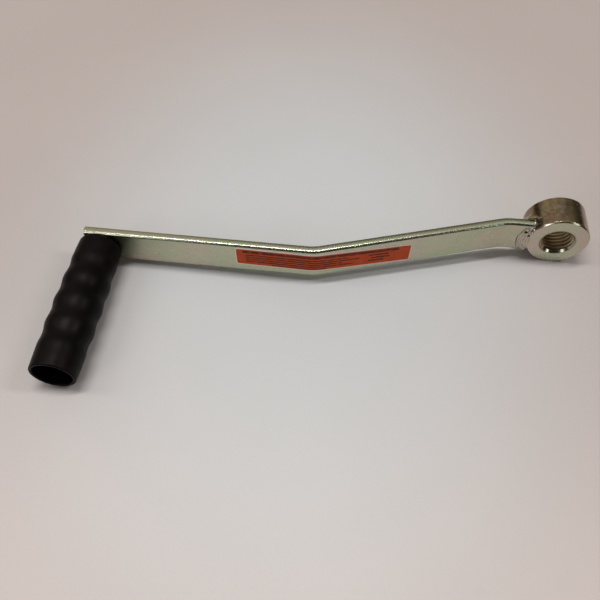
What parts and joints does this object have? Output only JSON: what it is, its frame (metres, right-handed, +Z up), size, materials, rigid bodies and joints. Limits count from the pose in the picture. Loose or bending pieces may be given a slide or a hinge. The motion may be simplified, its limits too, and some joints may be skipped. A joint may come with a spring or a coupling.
{
  "type": "winch crank handle",
  "caption": "Joggled flat steel crank with a welded threaded hub for a winch shaft and a hollow finger grip that spins on a staked rivet.",
  "frame": {"origin": "on the hub's bore axis, in the middle of the bar's thickness, inside the bore", "axes": "+Y along the bore away from the operator, the way the winch shaft leaves; +X from the grip to the hub; +Z up, across the bar's width"},
  "size_m": [0.3401, 0.1584, 0.0406],
  "materials": {
    "zinc_plate": "rolled flat bar, zinc plated with a pale yellow-green passivation",
    "hub_steel": "turned steel, zinc plated, faint rainbow tint",
    "weld_metal": "rippled weld bead, plated over",
    "spindle_steel": "zinc plated",
    "grip_moulding": "black moulded plastic with a dull sheen",
    "label_film": "printed orange-red film with a pale border"
  },
  "bodies": {
    "crank": {"arm": "zinc_plate", "hub": "hub_steel", "weld_front": "weld_metal", "weld_back": "weld_metal", "weld_top": "weld_metal", "weld_bottom": "weld_metal", "label": "label_film", "spindle": "spindle_steel", "spindle_washer": "spindle_steel"},
    "grip": {"grip": "grip_moulding"}
  },
  "joints": [
    {"name": "grip_spin", "type": "hinge", "parent": "crank", "child": "grip", "pos_m": [-0.3048, -0.0909, 0], "axis": [0, 1, 0], "continuous": true}
  ]
}
